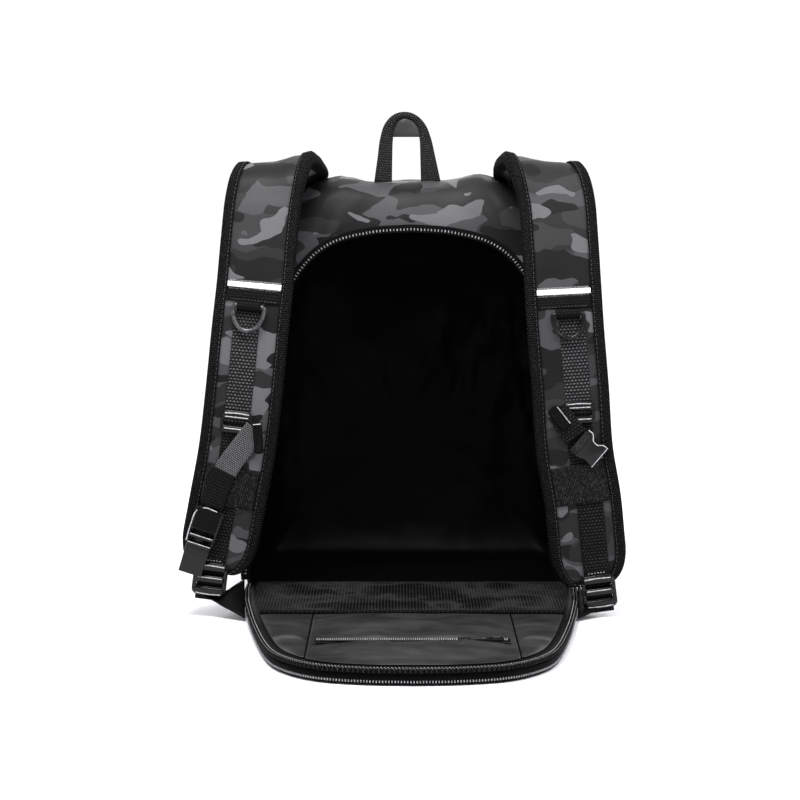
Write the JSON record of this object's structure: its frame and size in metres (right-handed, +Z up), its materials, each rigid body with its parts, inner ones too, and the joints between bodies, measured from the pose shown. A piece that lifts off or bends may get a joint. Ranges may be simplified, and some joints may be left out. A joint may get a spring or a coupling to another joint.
{
  "type": "motorcycle helmet backpack",
  "caption": "Backpack for a motorcycle helmet, standing open with its zipped back panel folded down, with haul loop, padded shoulder straps, webbing, rings and buckles.",
  "frame": {"origin": "middle of the body's flat base, where it stands on the floor", "axes": "+Z up the standing bag; the open side and the folded-down panel face -Y, so Y is the longest way across; X runs across the straps and is the shortest way, with -X on the left as seen from the open side"},
  "size_m": [0.4311, 0.6012, 0.4868],
  "materials": {
    "camouflage_cloth": "coated woven polyester with a dark grey camouflage print",
    "black_lining": "matte black woven lining",
    "zipper": "black tape with grey moulded teeth",
    "binding": "black twill tape",
    "net": "black spacer net",
    "nylon": "dark grey coated nylon",
    "webbing": "ribbed black and grey webbing",
    "elastic": "ribbed black elastic",
    "reflective": "silver-white reflective tape",
    "ring": "glossy moulded black",
    "plastic": "satin black acetal"
  },
  "bodies": {
    "bag": {"body_yoke": "camouflage_cloth", "body_shell": "camouflage_cloth", "body_back": "camouflage_cloth", "body_lining": "black_lining", "body_zipper": "zipper", "flap_panel": "black_lining", "flap_zipper": "zipper", "flap_binding": "binding", "flap_mesh": "net", "flap_pocket": "nylon", "flap_pleat_left": "nylon", "flap_pleat_right": "nylon", "pocket_zipper": "zipper", "pocket_slider": "plastic", "pocket_pull": "plastic", "handle_webbing": "webbing", "handle_grip": "nylon", "strap_pad_left": "camouflage_cloth", "strap_pad_right": "camouflage_cloth", "strap_binding_inner_left": "binding", "strap_binding_inner_right": "binding", "strap_binding_outer_left": "binding", "strap_binding_outer_right": "binding", "reflective_strip_left": "reflective", "reflective_strip_right": "reflective", "cross_band_left": "webbing", "cross_band_right": "webbing", "ring_keeper_left": "webbing", "ring_keeper_right": "webbing", "chest_webbing_left": "webbing", "chest_webbing_right": "webbing", "sternum_slider_left": "plastic", "sternum_slider_right": "plastic", "elastic_band_left": "elastic", "elastic_band_right": "elastic", "sternum_webbing_left": "webbing", "sternum_webbing_right": "webbing", "sternum_buckle_left": "plastic", "sternum_buckle_right": "plastic", "ladder_lock_left": "plastic", "ladder_lock_right": "plastic", "adjuster_webbing_left": "webbing", "adjuster_webbing_right": "webbing", "anchor_wing_left": "binding", "anchor_wing_right": "binding"},
    "ring_left": {"d_ring_left": "ring"},
    "ring_right": {"d_ring_right": "ring"}
  },
  "joints": [
    {"name": "d_ring_left_swing", "type": "hinge", "parent": "bag", "child": "ring_left", "pos_m": [-0.15468, -0.19662, 0.29886], "axis": [-0.9945, 0.0205, 0.1025], "range_deg": [0, 150]},
    {"name": "d_ring_right_swing", "type": "hinge", "parent": "bag", "child": "ring_right", "pos_m": [0.14874, -0.198, 0.29202], "axis": [-0.9984, -0.0106, -0.0559], "range_deg": [0, 150]}
  ]
}
